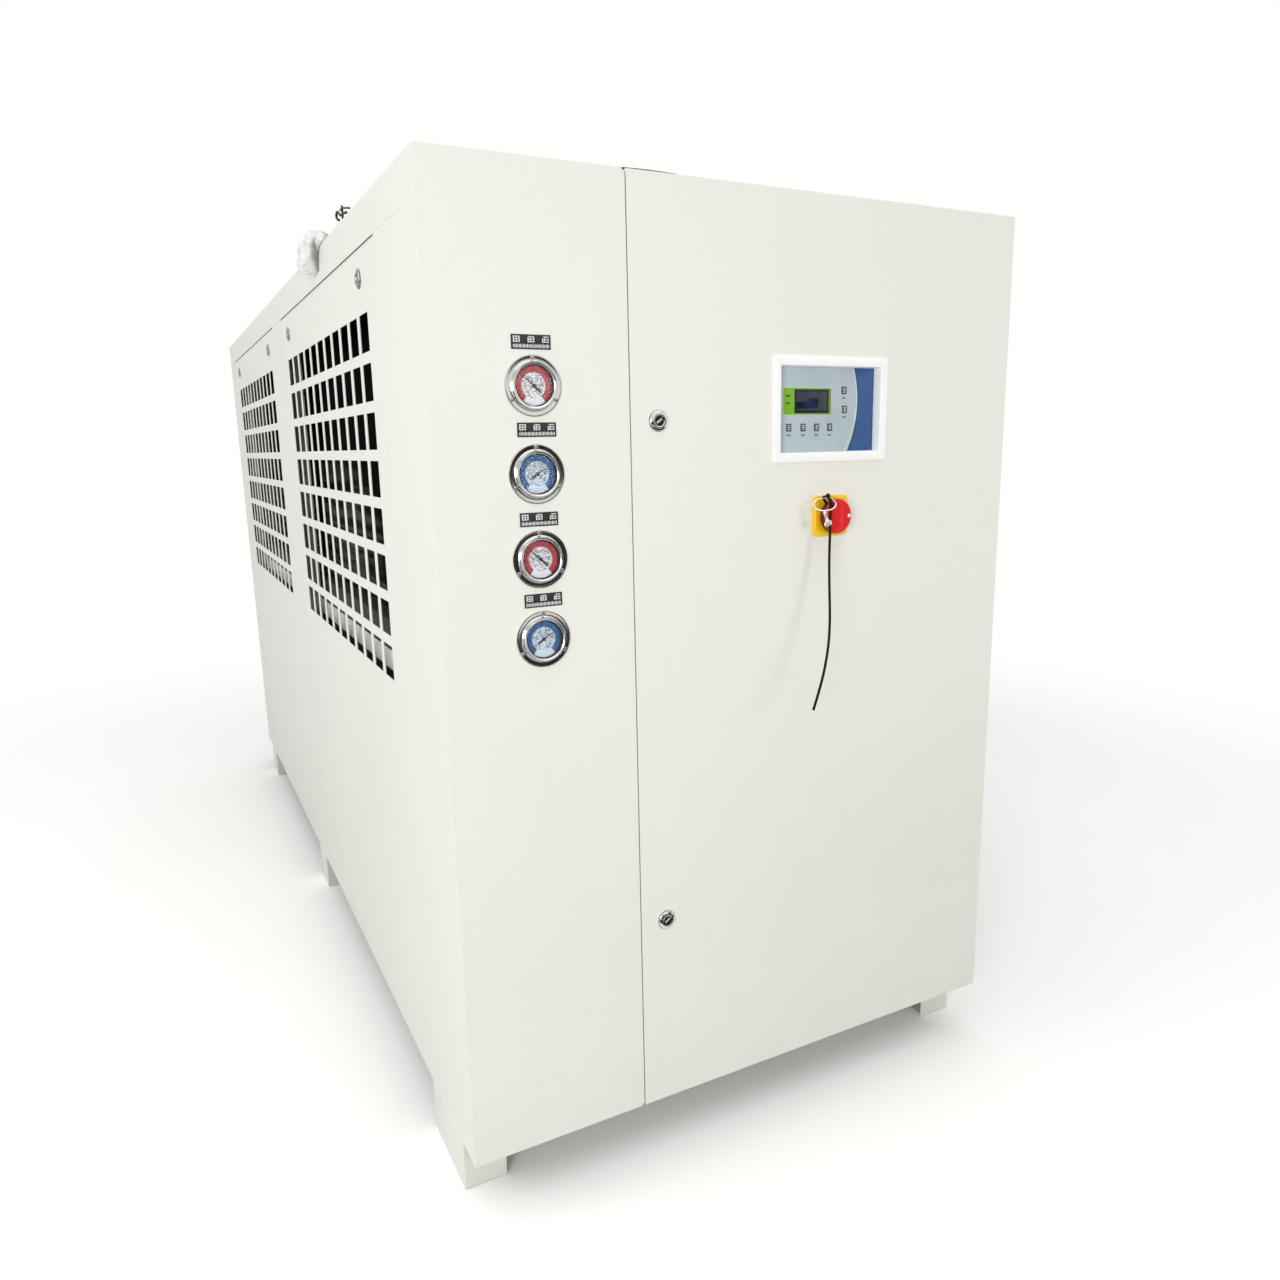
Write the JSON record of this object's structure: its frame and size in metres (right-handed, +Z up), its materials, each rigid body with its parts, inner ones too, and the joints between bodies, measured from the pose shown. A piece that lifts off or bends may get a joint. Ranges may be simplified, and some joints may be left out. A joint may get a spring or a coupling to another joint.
{
  "type": "air-cooled water chiller",
  "caption": "Air-cooled industrial water chiller in a folded sheet-steel housing with louvred side panels, roof fans, pressure gauges and a hinged control door with display and main switch",
  "frame": {"origin": "on the floor under the middle of the housing", "axes": "+Z up, front with gauges and door facing -Y, +X to the right as seen from the front, lengthwise along Y"},
  "size_m": [1.117, 2.7849, 1.749],
  "materials": {
    "coated_steel": "warm white powder coat with a fine orange-peel texture",
    "fan_black": "black coated wire and sheet steel",
    "rotor_grey": "dark grey coated fan blades and motor hub",
    "chrome": "polished chrome plate",
    "zinc_steel": "zinc plated steel",
    "dial_white": "white printed dial with a coloured band",
    "needle_red": "painted pointer",
    "clear_glass": "clear flat gauge glass",
    "label_grey": "dark grey engraved plate, left bare",
    "white_plastic": "white moulded frame",
    "keypad_grey": "pale grey-blue printed keypad foil",
    "switch_yellow": "yellow moulded plate",
    "switch_red": "red moulded knob",
    "black_nylon": "black nylon strap",
    "fin_aluminium": "closely pitched aluminium fins, dusty",
    "brass": "machined brass thread ends",
    "thin_film": "thin crumpled protective film"
  },
  "bodies": {
    "housing": {"base_pan": "coated_steel", "front_feet": "coated_steel", "mid_feet": "coated_steel", "rear_feet": "coated_steel", "front_post_left": "coated_steel", "front_post_right": "coated_steel", "mid_post_left": "coated_steel", "mid_post_right": "coated_steel", "rear_post_left": "coated_steel", "rear_post_right": "coated_steel", "roof": "coated_steel", "fan_collar_front": "fan_black", "fan_collar_rear": "fan_black", "fan_guard_front": "fan_black", "fan_guard_rear": "fan_black", "fan_rotor_front": "rotor_grey", "fan_rotor_rear": "rotor_grey", "louvred_panel_front_left": "coated_steel", "louvred_panel_front_right": "coated_steel", "louvred_panel_rear_left": "coated_steel", "louvred_panel_rear_right": "coated_steel", "panel_locks": "chrome", "gauge_panel": "coated_steel", "electrical_cabinet": "coated_steel", "mounting_plate": "zinc_steel", "hinge_frame_leaves": "zinc_steel", "gauge_cases": "chrome", "gauge_dials": "dial_white", "gauge_needles": "needle_red", "gauge_glasses": "clear_glass", "label_plates": "label_grey", "coil_left": "fin_aluminium", "coil_right": "fin_aluminium", "plenum_deck": "coated_steel", "rear_panel": "coated_steel", "water_connections": "brass", "protective_film": "thin_film"},
    "door": {"control_door": "coated_steel", "hinge_door_leaves": "zinc_steel", "door_locks": "chrome", "display_frame": "white_plastic", "display_panel": "keypad_grey", "switch_plate": "switch_yellow", "switch_knob": "switch_red", "key_ring": "chrome", "switch_keys": "chrome", "tie_loop": "black_nylon", "tie_tail": "black_nylon"}
  },
  "joints": [
    {"name": "door_hinge", "type": "hinge", "parent": "housing", "child": "door", "pos_m": [0.549, -1.241, 0.845], "axis": [0, 0, 1], "range_deg": [0, 110]}
  ]
}
